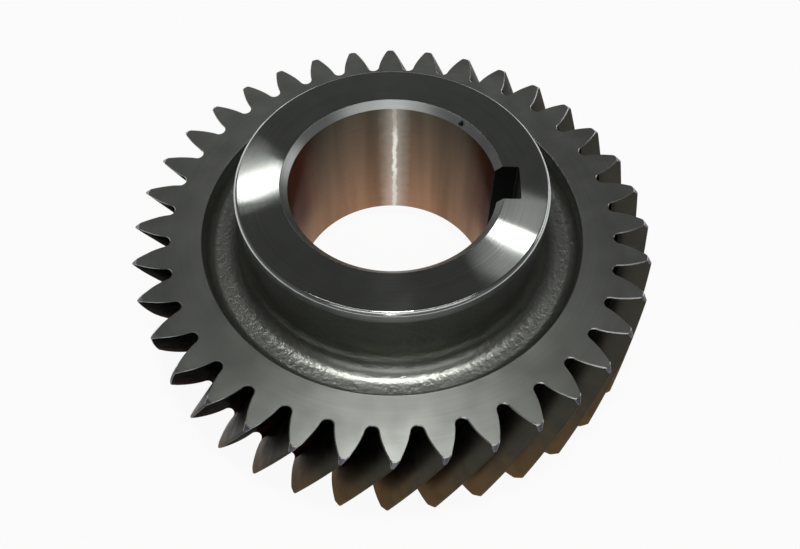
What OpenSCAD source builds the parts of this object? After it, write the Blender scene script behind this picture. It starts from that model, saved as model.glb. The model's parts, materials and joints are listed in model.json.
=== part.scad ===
// Helical transmission gear: toothed rim, sunk web, raised hub and keyed bore, all in one piece.
// Millimetres, +Z up along the bore. The origin is on the bore's axis, in the plane of the rim's lower face.

/* [Teeth] */
// Number of teeth
teeth = 36; // [34:1:42]
// Module, measured square to the teeth
module_normal = 3.75; // [3.55:0.05:4.25]
// Helix angle at the pitch circle, right-hand
helix_angle = 25; // [16:1:30]
// Pressure angle, measured square to the teeth
pressure_angle = 20; // [18:0.5:21]
// Height of a tooth over the pitch circle, in modules
addendum = 1.6; // [1.2:0.05:1.6]
// Depth of a tooth space under the pitch circle, in modules
dedendum = 1.5; // [1.25:0.05:1.6]
// Thinning of each tooth at the pitch circle, for play in the mesh
backlash = 0.05; // [0:0.01:0.2]
// Width of the rim, and so of the teeth
face_width = 34; // [30:0.5:44]
// Size of the 45 degree chamfer on the tooth tips at both faces
tip_chamfer = 1.5; // [0.3:0.1:2.5]
// Angle from the keyway to the nearest tooth, at the upper face
tooth_to_key = 1.9; // [0:0.1:5]

/* [Hub] */
// Diameter of the raised hub's turned nose
hub_d = 93; // [90:0.5:98]
// Height of the raised hub over the rim's upper face
hub_rise = 21; // [12:0.5:40]
// Chamfer round the edge of the hub's end face
hub_chamfer = 0.9; // [0.3:0.1:2]
// Height of the turned nose, from the end face down to the forged neck
hub_nose_h = 4; // [2.5:0.5:8]
// Step in from the turned nose to the forged neck
neck_step = 0.4; // [0.2:0.1:1]
// Depth of the hub's lower face over the rim's lower face
hub_sink = 2.5; // [0.5:0.5:4]

/* [Bore] */
// Diameter of the bore
bore_d = 62; // [50:0.5:68]
// Size of the 45 degree chamfer at both ends of the bore
bore_chamfer = 2; // [0.5:0.1:3]
// Width of the keyway
key_w = 12; // [6:0.5:16]
// Depth of the keyway, from the bore's wall to its flat floor
key_depth = 6.4; // [3:0.1:8]

/* [Web] */
// Diameter of the web's groove where it meets the rim's upper and lower faces
groove_d = 118.5; // [114:0.5:121]
// Depth of the groove under the upper face
groove_depth = 7.5; // [5:0.5:11]
// Depth of the groove over the lower face
lower_groove_depth = 7; // [5:0.5:10]
// Fillet from the groove's floor up to the rim
rim_fillet = 3.5; // [1:0.5:4]
// Fillet from the groove's floor up to the raised hub
hub_fillet = 6.5; // [3:0.5:8.5]
// Fillet from the lower groove's floor to the hub's lower boss
boss_fillet = 3.5; // [1:0.5:4]
// Slope of the groove's rim wall, away from upright
wall_draft = 8; // [2:1:14]

/* [Hidden] */

gear_colour = "#8a8d8c";
// Points along a tooth flank, along half a root fillet, and layers up the twisted teeth
flank_points = 5;
root_points = 3;
layers = 6;
// Points along each fillet of the web
arc_points = 7;
// Overlap of a cut past the face that it starts from
cut_over = 1;
// Least flat or wall left beside a fillet of the web
fillet_margin = 0.5;
round_fn = 180;

// Gear geometry in the plane of rotation
pitch_r = teeth * module_normal / cos(helix_angle) / 2;
pressure_transverse = atan(tan(pressure_angle) / cos(helix_angle));
base_r = pitch_r * cos(pressure_transverse);
tip_r = pitch_r + addendum * module_normal;
root_r = pitch_r - dedendum * module_normal;
pitch_angle = 360 / teeth;
// Turn of the teeth from the lower face to the upper face
twist_angle = face_width * tan(helix_angle) / pitch_r * 180 / PI;

hub_r = hub_d / 2;
neck_r = hub_r - neck_step;
bore_r = bore_d / 2;
groove_r = groove_d / 2;
hub_top = face_width + hub_rise;
// The fillets stay within the depth of their groove and the width of its floor
rim_round = min(rim_fillet, groove_depth - fillet_margin, lower_groove_depth - fillet_margin);
// Distance from the groove's edge in to the centre of its rim fillet, for a groove of depth d
function fillet_inset(d) =
    (d + rim_round * sin(wall_draft) - rim_round) * tan(wall_draft) + rim_round * cos(wall_draft);
upper_fillet_x = groove_r - fillet_inset(groove_depth);
lower_fillet_x = groove_r - fillet_inset(lower_groove_depth);
neck_h = hub_rise + groove_depth - hub_nose_h - neck_step;
hub_round = min(hub_fillet, upper_fillet_x - neck_r - fillet_margin, neck_h - fillet_margin);
boss_round = min(
    boss_fillet, lower_fillet_x - neck_r - fillet_margin, lower_groove_depth - hub_sink - fillet_margin
);

// Involute function, in degrees, of a pressure angle
function inv(a) = tan(a) * 180 / PI - a;

// Half the angle that a tooth fills at the base circle, and half of what a space fills
half_tooth_base = pitch_angle / 4 - backlash / 2 / pitch_r * 180 / PI + inv(pressure_transverse);
half_space_base = pitch_angle / 2 - half_tooth_base;

// Half the angle that a tooth fills at radius r
function half_tooth(r) = half_tooth_base - inv(acos(min(1, base_r / r)));

// Radius of the full-round root fillet, which touches the root circle and both flanks
function root_fillet(guess, steps) =
    steps == 0 ? guess :
    root_fillet(
        base_r * (half_space_base + inv(acos(min(1, base_r / (root_r + guess))))) * PI / 180,
        steps - 1
    );
fillet_r = root_fillet(0.4 * module_normal, 6);
fillet_centre = root_r + fillet_r;
// Roll of the involute where the fillet meets it, in radians
centre_roll = sqrt(max(0, pow(fillet_centre / base_r, 2) - 1));
join_roll = max(0, centre_roll - fillet_r / base_r);
join_r = base_r * sqrt(1 + join_roll * join_roll);
join_x = join_r * cos(pitch_angle / 2 - half_tooth(join_r)) - fillet_centre;
// Sweep of the root fillet to either side of the middle of a space
fillet_sweep = acos(-join_x / fillet_r);

function polar(r, a) = [r * cos(a), r * sin(a)];

// Point of the root fillet, sweep s from the middle of the space that lies at angle a
function root_point(a, s) =
    let (x = fillet_centre - fillet_r * cos(s), y = fillet_r * sin(s))
    [x * cos(a) - y * sin(a), x * sin(a) + y * cos(a)];

// One tooth centred at angle a: root fillet, flank, flank and root fillet, without the last root point
function tooth_points(a) = concat(
    [for (i = [0 : root_points - 1]) root_point(a - pitch_angle / 2, fillet_sweep * i / root_points)],
    [for (i = [0 : flank_points])
        let (r = join_r + (tip_r - join_r) * i / flank_points) polar(r, a - half_tooth(r))],
    [for (i = [flank_points : -1 : 0])
        let (r = join_r + (tip_r - join_r) * i / flank_points) polar(r, a + half_tooth(r))],
    [for (i = [root_points - 1 : -1 : 1])
        root_point(a + pitch_angle / 2, -fillet_sweep * i / root_points)]
);

module gear_outline() {
    polygon([for (t = [0 : teeth - 1]) each tooth_points(t * pitch_angle)]);
}

// The rim and its teeth, which turn anticlockwise as they rise
module toothed_rim() {
    rotate([0, 0, tooth_to_key - twist_angle])
        linear_extrude(height = face_width, twist = -twist_angle, slices = layers)
            gear_outline();
}

// Points of an arc from angle a to angle b
function arc(centre, r, a, b) = [for (i = [0 : arc_points]) centre + polar(r, a + (b - a) * i / arc_points)];

// Half section of the upper groove, from the hub's neck out to the rim's edge
function upper_groove() =
    let (floor_z = face_width - groove_depth)
    concat(
        arc([neck_r + hub_round, floor_z + hub_round], hub_round, 180, 270),
        arc([upper_fillet_x, floor_z + rim_round], rim_round, 270, 360 - wall_draft),
        [[groove_r, face_width]]
    );

// Half section of the lower groove, from the rim's edge in to the hub's boss
function lower_groove() =
    let (floor_z = lower_groove_depth)
    concat(
        [[groove_r, 0]],
        arc([lower_fillet_x, floor_z - rim_round], rim_round, wall_draft, 90),
        arc([neck_r + boss_round, floor_z - boss_round], boss_round, 90, 180)
    );

// The forged and turned blank, before its teeth and keyway are cut
module blank() {
    nose_z = hub_top - hub_nose_h;
    rotate_extrude($fn = round_fn)
        polygon(concat(
            [
                [bore_r, hub_sink + bore_chamfer],
                [bore_r, hub_top - bore_chamfer],
                [bore_r + bore_chamfer, hub_top],
                [hub_r - hub_chamfer, hub_top],
                [hub_r, hub_top - hub_chamfer],
                [hub_r, nose_z],
                [neck_r, nose_z - neck_step]
            ],
            upper_groove(),
            [
                [tip_r - tip_chamfer, face_width],
                [tip_r + cut_over, face_width - tip_chamfer - cut_over],
                [tip_r + cut_over, tip_chamfer + cut_over],
                [tip_r - tip_chamfer, 0]
            ],
            lower_groove(),
            [
                [neck_r, hub_sink],
                [bore_r + bore_chamfer, hub_sink]
            ]
        ));
}

// Keyway through the whole bore, on the +X side
module keyway() {
    translate([0, -key_w / 2, hub_sink - cut_over])
        cube([bore_r + key_depth, key_w, hub_top - hub_sink + 2 * cut_over]);
}

module helical_gear() {
    color(gear_colour)
        difference() {
            intersection() {
                blank();
                union() {
                    toothed_rim();
                    translate([0, 0, face_width / 2])
                        cylinder(r = groove_r, h = hub_top - face_width / 2 + cut_over, $fn = round_fn);
                }
            }
            keyway();
        }
}

helical_gear();
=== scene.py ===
import json
import math

import bpy
import numpy as np
from mathutils import Matrix, Quaternion, Vector


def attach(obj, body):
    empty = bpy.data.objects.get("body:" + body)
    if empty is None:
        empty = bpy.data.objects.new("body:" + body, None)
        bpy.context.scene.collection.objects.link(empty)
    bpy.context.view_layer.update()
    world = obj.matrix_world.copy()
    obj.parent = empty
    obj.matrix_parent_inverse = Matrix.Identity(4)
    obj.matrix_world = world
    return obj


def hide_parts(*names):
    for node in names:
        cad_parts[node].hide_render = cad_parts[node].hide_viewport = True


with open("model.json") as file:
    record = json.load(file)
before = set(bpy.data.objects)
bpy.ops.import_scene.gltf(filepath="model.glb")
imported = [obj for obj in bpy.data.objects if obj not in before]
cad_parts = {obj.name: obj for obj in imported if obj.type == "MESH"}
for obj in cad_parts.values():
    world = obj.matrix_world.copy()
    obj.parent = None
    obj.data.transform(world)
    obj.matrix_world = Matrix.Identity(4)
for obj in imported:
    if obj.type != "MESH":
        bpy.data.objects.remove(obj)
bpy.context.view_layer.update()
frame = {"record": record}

MM = 0.001
NODE = "helical_gear"

# Sizes that the imported part states: the mounts of its bore, faces and keyway
mounts = {m["name"]: m for m in frame["record"]["mounts"]}
BORE_R = mounts["bore"]["dims"]["r_mm"] * MM
HUB_TOP = mounts["hub_end_face"]["pos_m"][2]
HUB_BOTTOM = mounts["lower_hub_face"]["pos_m"][2]
KEY_FLOOR = mounts["keyway"]["pos_m"][0]

# Teeth
TEETH = 36
MODULE_NORMAL = 3.75 * MM
HELIX = math.radians(25)
PRESSURE_NORMAL = math.radians(20)
ADDENDUM = 1.6
DEDENDUM = 1.5
BACKLASH = 0.05 * MM
FACE_WIDTH = 34 * MM
TIP_CHAMFER = 1.5 * MM
TOOTH_TO_KEY = math.radians(1.9)

# Hub, bore and web
HUB_R = 46.5 * MM
HUB_CHAMFER = 0.9 * MM
NOSE_H = 4 * MM
NECK_STEP = 0.4 * MM
BORE_CHAMFER = 2 * MM
KEY_W = 12 * MM
KEY_CORNER = 0.5 * MM
GROOVE_R = 59.25 * MM
GROOVE_DEPTH = 7.5 * MM
LOWER_GROOVE_DEPTH = 7 * MM
RIM_FILLET = 3.5 * MM
HUB_FILLET = 6.5 * MM
BOSS_FILLET = 3.5 * MM
WALL_DRAFT = math.radians(8)

# Edge breaks left by the deburring brush, on the tooth outline, the groove, the hub and the keyway
TOOTH_BREAK = 0.22 * MM
GROOVE_BREAK = 0.3 * MM
HUB_BREAK = 0.12 * MM
KEY_BREAK = 0.15 * MM
# Shares of an edge break: the middle of its round, its reach along a chamfer, and its shift in at the
# groove's wall
BREAK_MIDDLE = 0.3
BREAK_ALONG = 0.4
BREAK_SHIFT = 0.1
# Loop this far from an edge break, which keeps the shading of a flat face flat
FLAT_MARGIN = 0.08 * MM
# Round of the tooth tips, over most of their height and where the tip chamfer meets a rim face
TIP_ROUND = 0.5 * MM
FACE_TIP_ROUND = 1.0 * MM
# Two faces that meet at more than this angle have a hard edge between them
SHARP_ANGLE = math.radians(28)

# Mesh steps along a root fillet, a flank and half a tip, and layers up the teeth
ROOT_STEPS = 7
FLANK_STEPS = 10
TIP_STEPS = 4
RISE_LAYERS = 22
# Mesh steps round a web fillet, down the bore, round a corner of the keyway and round the gear
FILLET_STEPS = 14
BORE_STEPS = 8
CORNER_STEPS = 5
RING_PER_TOOTH = 8
RING = TEETH * RING_PER_TOOTH
# Radius of the plain ring of the rim that the tooth outlines are stitched to
COLLAR_R = 64 * MM
# Reach of the keyway's cutter past the bore's wall and past the hub's faces
CUTTER_IN = 4 * MM
CUTTER_PAST = 2 * MM
# First guess of the root fillet, in modules, and the steps that bring it to its radius
FILLET_GUESS = 0.4
FILLET_TRIES = 6

PITCH_R = TEETH * MODULE_NORMAL / math.cos(HELIX) / 2
PRESSURE = math.atan(math.tan(PRESSURE_NORMAL) / math.cos(HELIX))
BASE_R = PITCH_R * math.cos(PRESSURE)
TIP_R = PITCH_R + ADDENDUM * MODULE_NORMAL
ROOT_R = PITCH_R - DEDENDUM * MODULE_NORMAL
PITCH_ANGLE = 2 * math.pi / TEETH
TURN_PER_M = math.tan(HELIX) / PITCH_R
NECK_R = HUB_R - NECK_STEP


def involute(angle):
    """Involute function of a pressure angle."""
    return math.tan(angle) - angle


def roll_angle(radius):
    """Pressure angle of the involute at a radius."""
    return math.acos(min(1, BASE_R / radius))


HALF_TOOTH_BASE = PITCH_ANGLE / 4 - BACKLASH / 2 / PITCH_R + involute(PRESSURE)
HALF_SPACE_BASE = PITCH_ANGLE / 2 - HALF_TOOTH_BASE


def root_fillet():
    """Radius of the full-round root fillet, which touches the root circle and both flanks."""
    radius = FILLET_GUESS * MODULE_NORMAL
    for _ in range(FILLET_TRIES):
        radius = BASE_R * (HALF_SPACE_BASE + involute(roll_angle(ROOT_R + radius)))
    return radius


FILLET_R = root_fillet()
FILLET_C = ROOT_R + FILLET_R
JOIN_ROLL = math.sqrt((FILLET_C / BASE_R) ** 2 - 1) - FILLET_R / BASE_R
JOIN_R = BASE_R * math.hypot(1, JOIN_ROLL)


def half_tooth(radius, inset=0.0):
    """Half the angle that a tooth fills at a radius, with its flanks moved inwards by inset."""
    return HALF_TOOTH_BASE - inset / BASE_R - involute(roll_angle(radius))


FILLET_SWEEP = math.acos((FILLET_C - JOIN_R * math.cos(PITCH_ANGLE / 2 - half_tooth(JOIN_R))) / FILLET_R)


def half_outline(tip, inset, corner):
    """Radius and angle of the points from the middle of a space to its tooth's tip, with a round corner."""
    points = []
    reach = FILLET_R + inset
    for i in range(ROOT_STEPS + 1):
        sweep = FILLET_SWEEP * i / ROOT_STEPS
        x, y = FILLET_C - reach * math.cos(sweep), reach * math.sin(sweep)
        points.append((math.hypot(x, y), PITCH_ANGLE / 2 - math.atan2(y, x)))
    # The corner's centre lies its radius inside both the flank and the tip circle
    centre_r = tip - corner
    centre_angle = half_tooth(centre_r, inset + corner)
    turns = [(math.pi / 2 - roll_angle(centre_r)) * (1 - i / TIP_STEPS) for i in range(TIP_STEPS + 1)]
    round_tip = []
    for turn in turns:
        x, y = centre_r + corner * math.cos(turn), corner * math.sin(turn)
        round_tip.append((math.hypot(x, y), centre_angle + math.atan2(y, x)))
    start, end = points[-1][0], round_tip[0][0]
    for i in range(1, FLANK_STEPS):
        radius = start + (end - start) * i / FLANK_STEPS
        points.append((radius, half_tooth(radius, inset)))
    return points + round_tip


def tooth_row(z, tip, inset, corner):
    """The whole toothed outline at one height, anticlockwise from the middle of a space."""
    half = half_outline(tip, inset, corner)
    tooth = [(r, -a) for r, a in half] + [(r, a) for r, a in reversed(half[1:])]
    turn = TOOTH_TO_KEY + (z - FACE_WIDTH) * TURN_PER_M
    r = np.array([p[0] for p in tooth] * TEETH)
    a = np.concatenate([[p[1] + t * PITCH_ANGLE for p in tooth] for t in range(TEETH)]) + turn
    return np.column_stack([r * np.cos(a), r * np.sin(a), np.full(len(r), z)])


def tooth_layers():
    """Height, tip radius, inset and tip round of each layer of the teeth, from the lower face up."""
    low = [
        (0, TIP_R - TIP_CHAMFER - TOOTH_BREAK / 2, TOOTH_BREAK, FACE_TIP_ROUND),
        (TOOTH_BREAK, TIP_R - TIP_CHAMFER + TOOTH_BREAK, 0, FACE_TIP_ROUND),
        (TIP_CHAMFER / 2, TIP_R - TIP_CHAMFER / 2, 0, (FACE_TIP_ROUND + TIP_ROUND) / 2),
    ]
    heights = np.linspace(TIP_CHAMFER, FACE_WIDTH - TIP_CHAMFER, RISE_LAYERS)
    middle = [(z, TIP_R, 0, TIP_ROUND) for z in heights]
    high = [(FACE_WIDTH - z, tip, inset, corner) for z, tip, inset, corner in reversed(low)]
    return low + middle + high


def arc(centre, radius, start, end):
    """Points of an arc in the gear's half section; angles in degrees."""
    angles = np.radians(np.linspace(start, end, FILLET_STEPS + 1))
    return [(centre[0] + radius * math.cos(a), centre[1] + radius * math.sin(a)) for a in angles]


def fillet_inset(depth):
    """Distance from a groove's edge in to the centre of its rim fillet."""
    straight = depth + RIM_FILLET * math.sin(WALL_DRAFT) - RIM_FILLET
    return straight * math.tan(WALL_DRAFT) + RIM_FILLET * math.cos(WALL_DRAFT)


def half_section():
    """(finish, points) of each stretch of the turned and forged half section, from the rim's upper face
    inwards, down the bore and out to its lower face."""
    floor_z = FACE_WIDTH - GROOVE_DEPTH
    draft = math.degrees(WALL_DRAFT)
    upper_x = GROOVE_R - fillet_inset(GROOVE_DEPTH)
    lower_x = GROOVE_R - fillet_inset(LOWER_GROOVE_DEPTH)
    nose_z = HUB_TOP - NOSE_H
    chamfer_z = HUB_TOP - HUB_CHAMFER
    face_r = HUB_R - HUB_CHAMFER
    mouth_r = BORE_R + BORE_CHAMFER
    # Points of the edge breaks
    groove_out = GROOVE_R + GROOVE_BREAK
    groove_in = GROOVE_R - GROOVE_BREAK * BREAK_SHIFT
    groove_near = GROOVE_BREAK * BREAK_MIDDLE
    hub_near = HUB_BREAK * BREAK_MIDDLE
    hub_far = HUB_BREAK * BREAK_ALONG
    face_out = face_r - HUB_BREAK
    face_in = mouth_r + HUB_BREAK
    bore_heights = np.linspace(HUB_TOP - BORE_CHAMFER, HUB_BOTTOM + BORE_CHAMFER, BORE_STEPS + 1)
    return [
        ("rim", [(COLLAR_R, FACE_WIDTH), (groove_out + FLAT_MARGIN, FACE_WIDTH), (groove_out, FACE_WIDTH)]),
        ("edge", [(GROOVE_R + groove_near, FACE_WIDTH - groove_near),
                  (groove_in, FACE_WIDTH - GROOVE_BREAK)]),
        ("web", arc((upper_x, floor_z + RIM_FILLET), RIM_FILLET, -draft, -90)
            + arc((NECK_R + HUB_FILLET, floor_z + HUB_FILLET), HUB_FILLET, -90, -180)
            + [(NECK_R, nose_z - NECK_STEP)]),
        ("nose", [(HUB_R, nose_z), (HUB_R, chamfer_z - HUB_BREAK)]),
        ("hub_chamfer", [(HUB_R - hub_far, chamfer_z + hub_near), (face_r + hub_near, HUB_TOP - hub_far)]),
        ("hub_face", [(face_out, HUB_TOP), (face_out - FLAT_MARGIN, HUB_TOP),
                      (face_in + FLAT_MARGIN, HUB_TOP), (face_in, HUB_TOP)]),
        ("bore_chamfer", [(mouth_r - hub_near, HUB_TOP - hub_near), (BORE_R, HUB_TOP - BORE_CHAMFER)]),
        ("bore", [(BORE_R, z) for z in bore_heights[1:]]),
        ("bore_chamfer", [(mouth_r, HUB_BOTTOM)]),
        ("hub_face", [(NECK_R, HUB_BOTTOM)]),
        ("web", arc((NECK_R + BOSS_FILLET, LOWER_GROOVE_DEPTH - BOSS_FILLET), BOSS_FILLET, 180, 90)
            + arc((lower_x, LOWER_GROOVE_DEPTH - RIM_FILLET), RIM_FILLET, 90, draft)),
        ("edge", [(groove_in, GROOVE_BREAK), (GROOVE_R + groove_near, groove_near), (groove_out, 0)]),
        ("rim", [(groove_out + FLAT_MARGIN, 0), (COLLAR_R, 0)]),
    ]


# Finishes of the gear's skin, and the steel that each one shows
FINISHES = {
    "rim": "steel_faced_rim",
    "edge": "steel_brushed_edge_break",
    "web": "steel_shot_blasted_forging_painted_shade",
    "nose": "steel_turned_hub_nose",
    "hub_chamfer": "steel_turned_hub_chamfer",
    "hub_face": "steel_turned_hub_face",
    "bore_chamfer": "steel_turned_bore_chamfer",
    "bore": "steel_ground_bore_painted_light",
    "drive_flank": "steel_ground_drive_flank_painted_light",
    "coast_flank": "steel_ground_coast_flank_painted_light",
    "root": "steel_hobbed_tooth_root_painted_light",
    "tip": "steel_turned_tip_land_painted_light",
    "tip_chamfer": "steel_turned_tip_chamfer",
    "keyway": "steel_broached_keyway_painted_shade",
}
SLOT = {finish: i for i, finish in enumerate(FINISHES)}


def outline_finishes():
    """Finish of each step of one tooth's outline, starting from the middle of a space."""
    root = [SLOT["root"]] * ROOT_STEPS
    tip = [SLOT["tip"]] * (2 * TIP_STEPS + 1)
    drive = [SLOT["drive_flank"]] * FLANK_STEPS
    coast = [SLOT["coast_flank"]] * FLANK_STEPS
    return root + drive + tip + coast + root


def gear_mesh():
    """The gear's whole skin: the toothed rim, both rim faces and the turned and forged section."""
    rows = [tooth_row(*layer) for layer in tooth_layers()]
    columns = len(rows[0])
    per_tooth = columns // TEETH
    verts = [np.vstack(rows)]
    faces, slots = [], []
    steps = outline_finishes() * TEETH
    for row in range(len(rows) - 1):
        # The outermost bands are the edge breaks, and the two next to each of them are the tip chamfer
        on_break = row in (0, len(rows) - 2)
        on_chamfer = row in (1, 2, len(rows) - 3, len(rows) - 4)
        for k in range(columns):
            n = (k + 1) % columns
            a, b = row * columns, (row + 1) * columns
            faces.append((a + k, a + n, b + n, b + k))
            slot = steps[k]
            if on_break:
                slot = SLOT["edge"]
            elif on_chamfer and slot == SLOT["tip"]:
                slot = SLOT["tip_chamfer"]
            slots.append(slot)

    # Each band of the section has the finish of the point that it leads to
    section = [(finish, p) for finish, points in half_section() for p in points]
    first = len(rows) * columns
    start = TOOTH_TO_KEY - PITCH_ANGLE / 2
    angles = start + np.arange(RING) * 2 * math.pi / RING
    for _, (r, z) in section:
        verts.append(np.column_stack([r * np.cos(angles), r * np.sin(angles), np.full(RING, z)]))
    for i in range(len(section) - 1):
        a, b = first + i * RING, first + (i + 1) * RING
        for j in range(RING):
            n = (j + 1) % RING
            faces.append((a + j, a + n, b + n, b + j))
            slots.append(SLOT[section[i + 1][0]])

    # Both rim faces are stitched from the tooth outline in to the section. The lower outline lags behind the
    # upper one by the turn of the teeth, here in steps of the ring.
    top = (len(rows) - 1) * columns
    last = first + (len(section) - 1) * RING
    lag = round(FACE_WIDTH * TURN_PER_M / (2 * math.pi / RING))
    for j in range(RING):
        tooth, part = divmod(j, RING_PER_TOOTH)
        begin = tooth * per_tooth + round(part * per_tooth / RING_PER_TOOTH)
        end = tooth * per_tooth + round((part + 1) * per_tooth / RING_PER_TOOTH)
        outer = [k % columns for k in range(begin, end + 1)]
        faces.append([top + k for k in outer] + [first + (j + 1) % RING, first + j])
        below, after = (j - lag) % RING, (j + 1 - lag) % RING
        faces.append([last + below, last + after] + outer[::-1])
        slots += [SLOT["rim"]] * 2

    mesh = bpy.data.meshes.new("gear")
    mesh.from_pydata(np.vstack(verts).tolist(), [], faces)
    for steel_name in FINISHES.values():
        mesh.materials.append(bpy.data.materials.new(steel_name))
    mesh.polygons.foreach_set("material_index", slots)
    mesh.update()
    return mesh


def keyway_outline(grow):
    """Half of the keyway's outline, from the bore to the middle of its floor, grown by an edge break."""
    half_w, floor_x, corner = KEY_W / 2 + grow, KEY_FLOOR + grow, KEY_CORNER + grow
    wall_x = math.sqrt(BORE_R**2 - half_w**2)
    mouth = half_w + KEY_BREAK
    points = [(BORE_R - CUTTER_IN, mouth), (wall_x, mouth), (wall_x + KEY_BREAK, half_w)]
    for i in range(CORNER_STEPS + 1):
        a = math.pi / 2 * (1 - i / CORNER_STEPS)
        points.append((floor_x - corner + corner * math.cos(a), half_w - corner + corner * math.sin(a)))
    return points


def keyway_cutter():
    """Solid that is cut from the hub, with its ends flared by the edge break at both hub faces."""
    rows = []
    for z, grow in (
        (HUB_BOTTOM - CUTTER_PAST, KEY_BREAK + CUTTER_PAST),
        (HUB_BOTTOM + KEY_BREAK, 0),
        (HUB_TOP - KEY_BREAK, 0),
        (HUB_TOP + CUTTER_PAST, KEY_BREAK + CUTTER_PAST),
    ):
        half = keyway_outline(grow)
        ring = [(x, -y) for x, y in half] + [(x, y) for x, y in reversed(half)]
        rows.append([(x, y, z) for x, y in ring])
    count = len(rows[0])
    faces = [list(range(count))[::-1], [len(rows) * count - count + k for k in range(count)]]
    for row in range(len(rows) - 1):
        a, b = row * count, (row + 1) * count
        for k in range(count):
            n = (k + 1) % count
            faces.append((a + k, a + n, b + n, b + k))
    mesh = bpy.data.meshes.new("keyway_cutter")
    mesh.from_pydata([p for row in rows for p in row], [], faces)
    mesh.materials.append(bpy.data.materials[FINISHES["keyway"]])
    cutter = bpy.data.objects.new("keyway_cutter", mesh)
    bpy.context.scene.collection.objects.link(cutter)
    return cutter


def cut_keyway(gear):
    """Cuts the keyway out of the gear's mesh; its walls keep the cutter's steel."""
    cutter = keyway_cutter()
    cut = gear.modifiers.new("keyway", "BOOLEAN")
    cut.operation = "DIFFERENCE"
    cut.solver = "EXACT"
    cut.material_mode = "TRANSFER"
    cut.object = cutter
    graph = bpy.context.evaluated_depsgraph_get()
    mesh = bpy.data.meshes.new_from_object(gear.evaluated_get(graph), depsgraph=graph)
    gear.modifiers.clear()
    gear.data = mesh
    bpy.data.objects.remove(cutter)


gear = bpy.data.objects.new("gear_body", gear_mesh())
bpy.context.scene.collection.objects.link(gear)
cut_keyway(gear)
gear.data.shade_smooth()
gear.data.set_sharp_from_angle(angle=SHARP_ANGLE)

# Most of a noise's values lie between these, and most sums of two noises between the next two
NOISE_LOW = 0.3
NOISE_HIGH = 0.7
SUM_LOW = 0.75
SUM_HIGH = 1.25


def linear(hex_colour):
    """Linear RGBA of an sRGB hex colour."""
    parts = [int(hex_colour[i:i + 2], 16) / 255 for i in (1, 3, 5)]
    return [c / 12.92 if c <= 0.04045 else ((c + 0.055) / 1.055) ** 2.4 for c in parts] + [1.0]


def node(tree, kind, inputs=None, **settings):
    """Adds a node, sets its properties, and sets or links its inputs, by name or number. Map Range reads
    from 1 to 2 and gives 3 to 4. Mix takes its share at 0, and its colours at 6 and 7."""
    made = tree.nodes.new(kind)
    for name, value in settings.items():
        setattr(made, name, value)
    for name, value in (inputs or {}).items():
        if isinstance(value, bpy.types.NodeSocket):
            tree.links.new(value, made.inputs[name])
        else:
            made.inputs[name].default_value = value
    return made


def start(finish):
    """The empty node tree of a finish's steel."""
    material = bpy.data.materials[FINISHES[finish]]
    material.use_nodes = True
    material.node_tree.nodes.clear()
    return material.node_tree


def spot(tree):
    """Place on the gear in metres, and its parts along X, Y and Z."""
    place = node(tree, "ShaderNodeTexCoord").outputs["Object"]
    return place, node(tree, "ShaderNodeSeparateXYZ", {0: place}).outputs


def rings(tree, pitch, wander=50 * MM):
    """Noise drawn out into rings round the bore, as a lathe tool or a grinding wheel leaves them, which
    change along their length over the wander. Real rings lie 0.2 mm apart or less, too fine to show in
    the render, so each pitch is as coarse as it has to be."""
    part = spot(tree)[1]
    flat = node(tree, "ShaderNodeCombineXYZ", {"X": part["X"], "Y": part["Y"]}).outputs[0]
    radius = node(tree, "ShaderNodeVectorMath", {0: flat}, operation="LENGTH").outputs["Value"]
    # Both a flat face and an upright wall change in this sum, so one lay fits every turned surface
    upright_share = 0.7
    across = node(tree, "ShaderNodeMath", {0: part["Z"], 1: upright_share, 2: radius},
                  operation="MULTIPLY_ADD").outputs[0]
    across = node(tree, "ShaderNodeMath", {0: across, 1: pitch}, operation="DIVIDE").outputs[0]
    along_x = node(tree, "ShaderNodeMath", {0: part["X"], 1: wander}, operation="DIVIDE").outputs[0]
    along_y = node(tree, "ShaderNodeMath", {0: part["Y"], 1: wander}, operation="DIVIDE").outputs[0]
    way = node(tree, "ShaderNodeCombineXYZ", {"X": along_x, "Y": along_y, "Z": across}).outputs[0]
    return node(tree, "ShaderNodeTexNoise", {"Vector": way, "Scale": 1.0, "Detail": 2.0}).outputs["Fac"]


def blotches(tree, size):
    """Cloudy noise with spots of the given size."""
    place = node(tree, "ShaderNodeTexCoord").outputs["Object"]
    noise = node(tree, "ShaderNodeTexNoise", {"Vector": place, "Scale": 1 / size, "Detail": 3.0})
    return noise.outputs["Fac"]


def steel(tree, colour, roughness, relief, depth, anisotropic=0.0, edge=1.0):
    """Ends a steel finish with its colour, gloss and relief, the lay of its rings where it was turned or
    ground, and how bright its edge is where it is seen aslant."""
    bump = node(tree, "ShaderNodeBump", {"Height": relief, "Distance": depth, "Strength": 1.0}).outputs[0]
    inputs = {"Base Color": colour, "Metallic": 1.0, "Roughness": roughness, "Normal": bump,
              "Specular Tint": (edge, edge, edge, 1.0)}
    if anisotropic:
        # A quarter turn, so that the reflections spread across the rings
        tangent = node(tree, "ShaderNodeTangent", direction_type="RADIAL", axis="Z").outputs[0]
        inputs.update({"Anisotropic": anisotropic, "Anisotropic Rotation": 0.25, "Tangent": tangent})
    shader = node(tree, "ShaderNodeBsdfPrincipled", inputs).outputs[0]
    node(tree, "ShaderNodeOutputMaterial", {"Surface": shader})


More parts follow.
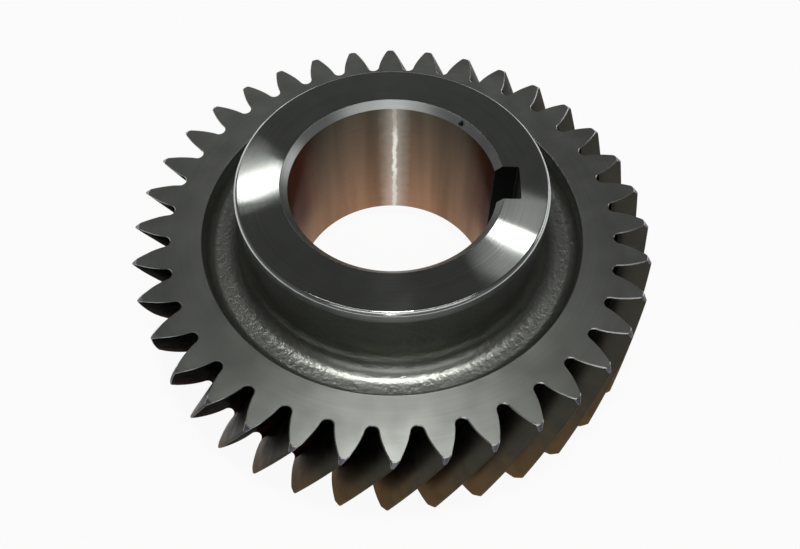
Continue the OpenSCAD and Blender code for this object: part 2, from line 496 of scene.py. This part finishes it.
def marked(tree, colour, centre, size, dark):
    """The colour with one small dark mark of the given size, with a ragged edge, round a centre."""
    place = node(tree, "ShaderNodeTexCoord").outputs["Object"]
    away = node(tree, "ShaderNodeVectorMath", {0: place, 1: centre}, operation="DISTANCE").outputs["Value"]
    # The noise makes the edge ragged by a share of the size, and the mark fades over half its size
    away = node(tree, "ShaderNodeMath", {0: blotches(tree, 0.8 * MM), 1: size, 2: away},
                operation="MULTIPLY_ADD").outputs[0]
    full = size * 1.1
    gone = size * 1.6
    share = node(tree, "ShaderNodeMapRange", {0: away, 1: full, 2: gone, 3: 1.0, 4: 0.0}).outputs[0]
    return node(tree, "ShaderNodeMix", {0: share, 6: colour, 7: linear(dark)}, data_type="RGBA").outputs[2]


def turned(finish, light, dark, roughness, pitch, anisotropic, depth=0.001 * MM, mark=None):
    """Steel as a lathe tool leaves it: rings in its tone and relief, which draw its highlights out, and
    soft clouds in its gloss."""
    tree = start(finish)
    ring = rings(tree, pitch)
    cloud = blotches(tree, 9 * MM)
    tone = node(tree, "ShaderNodeMath", {0: ring, 1: cloud}, operation="ADD").outputs[0]
    tone = node(tree, "ShaderNodeMapRange", {0: tone, 1: SUM_LOW, 2: SUM_HIGH}).outputs[0]
    colour = node(tree, "ShaderNodeMix", {0: tone, 6: linear(dark), 7: linear(light)},
                  data_type="RGBA").outputs[2]
    if mark:
        colour = marked(tree, colour, *mark)
    smooth = roughness * 0.93
    dull = roughness * 1.07
    gloss = node(tree, "ShaderNodeMapRange",
                 {0: cloud, 1: NOISE_LOW, 2: NOISE_HIGH, 3: smooth, 4: dull}).outputs[0]
    steel(tree, colour, gloss, ring, depth, anisotropic)


def faced_rim():
    """Rim face, turned and then dulled in the hardening furnace: a soft, even grey with a faint mottle."""
    turned("rim", "#b9bcb5", "#b1b4ad", roughness=0.305, pitch=0.8 * MM, anisotropic=0.37)


def hub_face():
    """Hub face, finish-turned bright: its rings draw a near lamp out into a wing with sharp sides."""
    turned("hub_face", "#c0c4bf", "#b2b6b1", roughness=0.075, pitch=0.35 * MM, anisotropic=1.0,
           depth=0.0001 * MM)


def hub_turning():
    """Nose, hub chamfer and bore chamfer, turned in one setting: a dull grey nose under two bright, narrow
    rings. A knock left one dark nick on the bore chamfer, at the back right."""
    nick = ((20.6 * MM, 24.0 * MM, 54.2 * MM), 1.2 * MM, "#343533")
    turned("nose", "#7b7e7c", "#6c6f6d", roughness=0.32, pitch=0.5 * MM, anisotropic=0.5)
    turned("hub_chamfer", "#c9ccc9", "#b9bcb9", roughness=0.2, pitch=0.4 * MM, anisotropic=0.4)
    turned("bore_chamfer", "#c3c6c4", "#b3b6b4", roughness=0.34, pitch=0.4 * MM, anisotropic=0.3, mark=nick)


def brushed_edges():
    """Edges broken with a wire brush: lighter and smoother than the faces, so they draw thin bright lines.
    The brush's scratches are too fine to show, so a 0.6 mm grain stands for them."""
    tree = start("edge")
    grain = blotches(tree, 0.6 * MM)
    colour = node(tree, "ShaderNodeMix", {0: grain, 6: linear("#a9aba8"), 7: linear("#d2d4d1")},
                  data_type="RGBA").outputs[2]
    steel(tree, colour, roughness=0.3, relief=grain, depth=0.01 * MM)


def shot_blasted_web():
    """Forged web and neck, shot-blasted: each shot left a dimple, and the dimples break a highlight into
    glints. Real dimples are about 0.5 mm wide, too fine to show, so they are drawn 1.6 mm wide."""
    tree = start("web")
    place, part = spot(tree)
    dimple_size = 1.6 * MM
    dimple = node(tree, "ShaderNodeTexVoronoi",
                  {"Vector": place, "Scale": 1 / dimple_size, "Smoothness": 1.0},
                  feature="SMOOTH_F1").outputs["Distance"]
    scale_crust = blotches(tree, 0.8 * MM)
    relief = node(tree, "ShaderNodeMath", {0: dimple, 1: scale_crust}, operation="ADD").outputs[0]
    cloud = blotches(tree, 7 * MM)
    blasted = node(tree, "ShaderNodeMix", {0: cloud, 6: linear("#898b85"), 7: linear("#9fa19a")},
                   data_type="RGBA").outputs[2]
    # The neck grows darker upwards: painted shade
    neck_painted_shade_from = FACE_WIDTH - 4 * MM
    neck_painted_shade_full = FACE_WIDTH + 6 * MM
    neck = node(tree, "ShaderNodeMapRange", {0: part["Z"], 1: neck_painted_shade_from, 2: neck_painted_shade_full},
                interpolation_type="SMOOTHSTEP").outputs[0]
    colour = node(tree, "ShaderNodeMix", {0: neck, 6: blasted, 7: linear("#5c5d58")},
                  data_type="RGBA").outputs[2]
    smooth = 0.29
    dull = 0.37
    gloss = node(tree, "ShaderNodeMapRange",
                 {0: scale_crust, 1: NOISE_LOW, 2: NOISE_HIGH, 3: smooth, 4: dull}).outputs[0]
    steel(tree, colour, gloss, relief, depth=0.085 * MM)


def bore_painted_reflection(tree, part, height):
    """Colour of the bore, which is a painted reflection of the brown surface under the gear: amber below,
    where that surface is lit, and red-brown at its sides, where it mirrors red things beside the gear.
    """
    painted_reflection = node(tree, "ShaderNodeMix", {0: height, 6: linear("#b58a6c"), 7: linear("#6f6a5c")},
                data_type="RGBA").outputs[2]
    # Distance to the side, and share of the height, where the red-brown painted reflection starts and where
    # it is full
    side_from = BORE_R * 0.72
    side_full = BORE_R * 0.98
    height_from = 0.15
    height_full = 0.5
    side = node(tree, "ShaderNodeMath", {0: part["X"]}, operation="ABSOLUTE").outputs[0]
    side = node(tree, "ShaderNodeMapRange", {0: side, 1: side_from, 2: side_full},
                interpolation_type="SMOOTHSTEP").outputs[0]
    above = node(tree, "ShaderNodeMapRange", {0: height, 1: height_from, 2: height_full},
                 interpolation_type="SMOOTHSTEP").outputs[0]
    red_painted_reflection = node(tree, "ShaderNodeMath", {0: side, 1: above}, operation="MULTIPLY").outputs[0]
    return node(tree, "ShaderNodeMix", {0: red_painted_reflection, 6: painted_reflection, 7: linear("#63301f")},
                data_type="RGBA").outputs[2]


def bore_bands(tree, place, ring):
    """Tone of the bore, lighter and darker in upright bands, over the rings of the wheel."""
    band_w = 7 * MM
    band_h = 90 * MM
    # Tone of the darker and the lighter bands
    thick = 0.72
    thin = 1.2
    ring_dim = 0.9
    ring_bright = 1.1
    down = node(tree, "ShaderNodeVectorMath", {0: place, 1: (1 / band_w, 1 / band_w, 1 / band_h)},
                operation="MULTIPLY").outputs[0]
    band = node(tree, "ShaderNodeTexNoise", {"Vector": down, "Scale": 1.0, "Detail": 2.0}).outputs["Fac"]
    band = node(tree, "ShaderNodeMapRange",
                {0: band, 1: NOISE_LOW, 2: NOISE_HIGH, 3: thick, 4: thin}).outputs[0]
    tone = node(tree, "ShaderNodeMapRange", {0: ring, 3: ring_dim, 4: ring_bright}).outputs[0]
    return node(tree, "ShaderNodeMath", {0: tone, 1: band}, operation="MULTIPLY").outputs[0]


# Painted highlight, a line at the back of the bore: how far its ragged sides stray, and where its
# bright core and the halo beside it start to fade and are gone
LINE_STRAY = 0.35 * MM
CORE_FADES = 0.4 * MM
CORE_GONE = 1.4 * MM
HALO_FADES = 0.8 * MM
HALO_GONE = 5.5 * MM
HALO_SHARE = 0.4
# The core is dimmer near both ends of the bore: its shares there, and the heights between which it
# brightens and dims
LOW_SHARE = 0.75
LOW_END = 0.3
LOW_FULL = 0.42
HIGH_FULL = 0.72
HIGH_END = 0.84
HIGH_SHARE = 0.6


def painted_highlight_line(tree, part, height):
    """Share of the bore's colour that gives way to a painted highlight, an upright line at the back of the
    bore.
    """
    stray = blotches(tree, 2.5 * MM)
    stray = node(tree, "ShaderNodeMapRange",
                 {0: stray, 1: NOISE_LOW, 2: NOISE_HIGH, 3: -LINE_STRAY, 4: LINE_STRAY}).outputs[0]
    away = node(tree, "ShaderNodeMath", {0: part["X"], 1: stray}, operation="ADD").outputs[0]
    away = node(tree, "ShaderNodeMath", {0: away}, operation="ABSOLUTE").outputs[0]
    core = node(tree, "ShaderNodeMapRange",
                {0: away, 1: CORE_FADES, 2: CORE_GONE, 3: 1.0, 4: 0.0}).outputs[0]
    halo = node(tree, "ShaderNodeMapRange",
                {0: away, 1: HALO_FADES, 2: HALO_GONE, 3: HALO_SHARE, 4: 0.0}).outputs[0]
    low = node(tree, "ShaderNodeMapRange",
               {0: height, 1: LOW_END, 2: LOW_FULL, 3: LOW_SHARE, 4: 1.0}).outputs[0]
    high = node(tree, "ShaderNodeMapRange",
                {0: height, 1: HIGH_FULL, 2: HIGH_END, 3: 1.0, 4: HIGH_SHARE}).outputs[0]
    along_line = node(tree, "ShaderNodeMath", {0: low, 1: high}, operation="MULTIPLY").outputs[0]
    core = node(tree, "ShaderNodeMath", {0: core, 1: along_line}, operation="MULTIPLY").outputs[0]
    painted_highlight = node(tree, "ShaderNodeMath", {0: core, 1: halo}, operation="MAXIMUM").outputs[0]
    behind = node(tree, "ShaderNodeMath", {0: part["Y"], 1: 0.0}, operation="GREATER_THAN").outputs[0]
    return node(tree, "ShaderNodeMath", {0: painted_highlight, 1: behind}, operation="MULTIPLY").outputs[0]


def ground_bore():
    """Ground bore with fine rings that draw its reflections out up and down the wall. Its colour is a
    painted reflection of the surface under the gear, and one bright line at the back is a painted highlight."""
    tree = start("bore")
    place, part = spot(tree)
    ring = rings(tree, pitch=0.5 * MM, wander=20 * MM)
    height = node(tree, "ShaderNodeMapRange", {0: part["Z"], 1: HUB_BOTTOM, 2: HUB_TOP}).outputs[0]
    # Painted reflection of the surface under the gear, seen in the bore
    painted_reflection = bore_painted_reflection(tree, part, height)
    tone = bore_bands(tree, place, ring)
    colour = node(tree, "ShaderNodeVectorMath", {0: painted_reflection, 1: tone}, operation="MULTIPLY").outputs[0]
    # Painted highlight: a bright upright line at the back of the bore
    painted_highlight = painted_highlight_line(tree, part, height)
    colour = node(tree, "ShaderNodeMix", {0: painted_highlight, 6: colour, 7: linear("#f0efe6")},
                  data_type="RGBA").outputs[2]
    # The painted highlight is also smoother than the rest of the bore, so it mirrors the bright floor under
    # the bore
    rough_off_line = 0.4
    rough_on_line = 0.2
    gloss = node(tree, "ShaderNodeMapRange", {0: painted_highlight, 3: rough_off_line, 4: rough_on_line}).outputs[0]
    steel(tree, colour, gloss, ring, depth=0.001 * MM, anisotropic=1.0)


def oiled_with_painted_light(finish, upper, lower, roughness, depth, edge=0.5):
    """Tooth steel with painted light: a dark tone above, which is painted shade, a browner one towards the
    lower face, which is a painted reflection of the brown surface under the gear, and smears of old oil in
    its gloss."""
    tree = start(finish)
    part = spot(tree)[1]
    smear = blotches(tree, 5 * MM)
    # The smears shift the heights between which one tone passes into the other
    smear_reach = 12 * MM
    painted_reflection_to = 8 * MM
    painted_shade_from = 30 * MM
    height = node(tree, "ShaderNodeMath", {0: smear, 1: smear_reach, 2: part["Z"]},
                  operation="MULTIPLY_ADD").outputs[0]
    high = node(tree, "ShaderNodeMapRange", {0: height, 1: painted_reflection_to, 2: painted_shade_from}).outputs[0]
    # Painted light: the dark upper tone is painted shade, the brown lower one a painted reflection
    colour = node(tree, "ShaderNodeMix", {0: high, 6: linear(lower), 7: linear(upper)},
                  data_type="RGBA").outputs[2]
    smooth = roughness * 0.85
    dull = roughness * 1.2
    gloss = node(tree, "ShaderNodeMapRange",
                 {0: smear, 1: NOISE_LOW, 2: NOISE_HIGH, 3: smooth, 4: dull}).outputs[0]
    # A low edge share takes the bright edge off the steel where it is seen aslant, as painted shade on its
    # reflection
    steel(tree, colour, gloss, blotches(tree, 0.8 * MM), depth, edge=edge)


def teeth():
    """Ground flanks, hobbed roots and turned tips: the drive flanks are lighter, and the coast flanks and
    roots are nearly black with painted shade."""
    oiled_with_painted_light("drive_flank", "#3d3b34", "#59462f", roughness=0.36, depth=0.006 * MM)
    oiled_with_painted_light("coast_flank", "#17130f", "#4c2a1c", roughness=0.5, depth=0.006 * MM, edge=0.0)
    oiled_with_painted_light("root", "#14120f", "#3a241a", roughness=0.5, depth=0.01 * MM, edge=0.0)
    oiled_with_painted_light("tip", "#3a352b", "#5e4b36", roughness=0.36, depth=0.006 * MM)
    turned("tip_chamfer", "#8d8b93", "#74727a", roughness=0.38, pitch=0.4 * MM, anisotropic=0.3)


def broached_keyway():
    """Keyway, broached: nearly black with painted shade, with a coarse grain, and it hardly shines."""
    tree = start("keyway")
    grain = blotches(tree, 0.8 * MM)
    colour = node(tree, "ShaderNodeMix", {0: grain, 6: linear("#0b0d0c"), 7: linear("#1d201e")},
                  data_type="RGBA").outputs[2]
    steel(tree, colour, roughness=0.55, relief=grain, depth=0.02 * MM)


faced_rim()
hub_face()
hub_turning()
brushed_edges()
shot_blasted_web()
ground_bore()
teeth()
broached_keyway()

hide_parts(NODE)
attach(gear, "root")


def floor():
    """White paper under the gear: the camera and the steel's reflections see it as plain white, and it
    keeps the gear's shadow."""
    size = 12.0
    # A hair under the gear, so that no two faces lie in one plane
    z = -0.02 * MM
    white_share = 0.93
    mesh = bpy.data.meshes.new("floor")
    corners = [(-size, -size, z), (size, -size, z), (size, size, z), (-size, size, z)]
    mesh.from_pydata(corners, [], [(0, 1, 2, 3)])
    made = bpy.data.objects.new("floor", mesh)
    bpy.context.scene.collection.objects.link(made)
    material = bpy.data.materials.new("white_paper")
    material.use_nodes = True
    tree = material.node_tree
    tree.nodes.clear()
    path = node(tree, "ShaderNodeLightPath").outputs
    seen = node(tree, "ShaderNodeMath", {0: path["Is Camera Ray"], 1: path["Is Glossy Ray"]},
                operation="ADD").outputs[0]
    seen = node(tree, "ShaderNodeMath", {0: seen, 1: path["Is Transmission Ray"]},
                operation="ADD", use_clamp=True).outputs[0]
    share = node(tree, "ShaderNodeMath", {0: seen, 1: white_share}, operation="MULTIPLY").outputs[0]
    paper = node(tree, "ShaderNodeBsdfDiffuse", {"Color": linear("#ededed")}).outputs[0]
    glow = node(tree, "ShaderNodeEmission", {"Color": linear("#ffffff"), "Strength": 1.0}).outputs[0]
    mix = node(tree, "ShaderNodeMixShader", {0: share, 1: paper, 2: glow}).outputs[0]
    node(tree, "ShaderNodeOutputMaterial", {"Surface": mix})
    mesh.materials.append(material)


floor()

# Middle of the rim's upper face, which the lamps face and from which the camera's place is measured
RIM_MIDDLE = (0, 0, FACE_WIDTH)


def direction(azimuth, elevation):
    """Unit vector from the gear towards a lamp or the camera. Azimuth 0 is in front, and a quarter turn on
    its right."""
    flat = math.cos(elevation)
    return Vector((math.sin(azimuth) * flat, -math.cos(azimuth) * flat, math.sin(elevation)))


def lamp(name, azimuth, elevation, distance, size, watts, target=RIM_MIDDLE, aim=None, roll=0, beam=180):
    """Area lamp of a size in metres, at a distance from a target, with its angles in degrees. It faces its
    target, or the point that it is aimed at."""
    data = bpy.data.lights.new(name, "AREA")
    data.shape = "RECTANGLE"
    data.size, data.size_y = size
    data.energy = watts
    data.spread = math.radians(beam)
    made = bpy.data.objects.new(name, data)
    made.location = Vector(target) + direction(math.radians(azimuth), math.radians(elevation)) * distance
    made.rotation_mode = "QUATERNION"
    facing = made.location - Vector(aim or target)
    made.rotation_quaternion = facing.to_track_quat("Z", "Y") @ Quaternion((0, 0, 1), math.radians(roll))
    bpy.context.scene.collection.objects.link(made)


lamp("overhead", azimuth=0, elevation=90, distance=1.2, size=(0.2, 0.16), watts=4.0)
lamp("overhead_wide", azimuth=0, elevation=89, distance=1.2, size=(1.0, 0.15), watts=2.5)
lamp("front_window", azimuth=8, elevation=43.2, distance=1.4, size=(1.9, 0.28), watts=2.65)
lamp("front_strip", azimuth=0, elevation=30, distance=1.4, size=(0.06, 0.6), watts=0.55)
# Low and weak, these two show the teeth from the right and from behind, and hardly light what faces up
lamp("right_side", azimuth=115, elevation=16, distance=1.4, size=(0.7, 0.4), watts=1.0)
lamp("back_side", azimuth=-150, elevation=16, distance=1.4, size=(0.7, 0.4), watts=1.0)

# Near lamps with a narrow beam, whose reflections the lay of the hub face draws out into its two bright
# wings. Each is aimed further in than the wing that it lights, so that little of its light falls on the
# rim.
WING_DISTANCE = 0.35
GLOW_DISTANCE = 0.352
WING_WIDTH = 0.038
WING_BEAM = 13.7
LEFT_WING = (-38.6 * MM, -1.4 * MM, HUB_TOP)
LEFT_AIM = (-28.6 * MM, -1.4 * MM, HUB_TOP)
RIGHT_WING = (33.9 * MM, -19.9 * MM, HUB_TOP)
RIGHT_AIM = (25.3 * MM, -14.8 * MM, HUB_TOP)
left = {"target": LEFT_WING, "aim": LEFT_AIM, "roll": 14, "beam": WING_BEAM}
right = {"target": RIGHT_WING, "aim": RIGHT_AIM, "roll": -10, "beam": WING_BEAM}
lamp("left_wing", azimuth=-166.2, elevation=49.2, distance=WING_DISTANCE,
     size=(WING_WIDTH, 0.0155), watts=4.5e-5, **left)
lamp("left_wing_glow", azimuth=-165, elevation=48.5, distance=GLOW_DISTANCE,
     size=(WING_WIDTH, 0.04), watts=1.2e-5, **left)
lamp("right_wing", azimuth=168.9, elevation=52.6, distance=WING_DISTANCE,
     size=(WING_WIDTH, 0.0135), watts=4.5e-5, **right)
lamp("right_wing_glow", azimuth=168.9, elevation=52.6, distance=GLOW_DISTANCE,
     size=(WING_WIDTH, 0.06), watts=2.2e-5, **right)


def room():
    """Grey room, lighter towards the horizon than overhead, as a bench near a wall sees it."""
    horizon_grey = 0.15
    upper_grey = 0.055
    # Sine of the elevation from which the room is evenly dark
    upper_from = 0.85
    world = bpy.data.worlds.new("room")
    world.use_nodes = True
    tree = world.node_tree
    tree.nodes.clear()
    way = node(tree, "ShaderNodeTexCoord").outputs["Generated"]
    up = node(tree, "ShaderNodeSeparateXYZ", {0: way}).outputs["Z"]
    grey = node(tree, "ShaderNodeMapRange",
                {0: up, 1: 0.0, 2: upper_from, 3: horizon_grey, 4: upper_grey}).outputs[0]
    sky = node(tree, "ShaderNodeBackground", {"Color": grey, "Strength": 1.0}).outputs[0]
    node(tree, "ShaderNodeOutputWorld", {"Surface": sky})
    bpy.context.scene.world = world


room()

# Camera that was fitted to the photograph: its distance and shifts are in units of the tip radius where the
# chamfer meets the rim face
FITTED_UNIT = 79.58 * MM
FOCAL_PX = 913.37
PHOTO_W = 800
SENSOR_W_MM = 36
CAMERA_AZIMUTH = math.radians(0.5)
CAMERA_ELEVATION = math.radians(55.64)
CAMERA_ROLL = math.radians(0.66)
CAMERA_DISTANCE = 3.5866
CAMERA_RIGHT = 0.0297
CAMERA_UP = -0.1984


def camera():
    """The photograph's camera, which looks down on the gear from the front."""
    back = direction(CAMERA_AZIMUTH, CAMERA_ELEVATION)
    level = Vector((math.cos(CAMERA_AZIMUTH), math.sin(CAMERA_AZIMUTH), 0))
    rise_axis = back.cross(level)
    right = level * math.cos(CAMERA_ROLL) + rise_axis * math.sin(CAMERA_ROLL)
    up = rise_axis * math.cos(CAMERA_ROLL) - level * math.sin(CAMERA_ROLL)
    place = back * CAMERA_DISTANCE + right * CAMERA_RIGHT + up * CAMERA_UP
    data = bpy.data.cameras.new("camera")
    data.sensor_width = SENSOR_W_MM
    data.lens = FOCAL_PX / PHOTO_W * SENSOR_W_MM
    data.clip_start = 10 * MM
    made = bpy.data.objects.new("camera", data)
    turn = Matrix((right, up, back)).transposed().to_4x4()
    made.matrix_world = Matrix.Translation(place * FITTED_UNIT + Vector(RIM_MIDDLE)) @ turn
    bpy.context.scene.collection.objects.link(made)
    bpy.context.scene.camera = made


camera()
bpy.context.scene.view_settings.view_transform = "Standard"
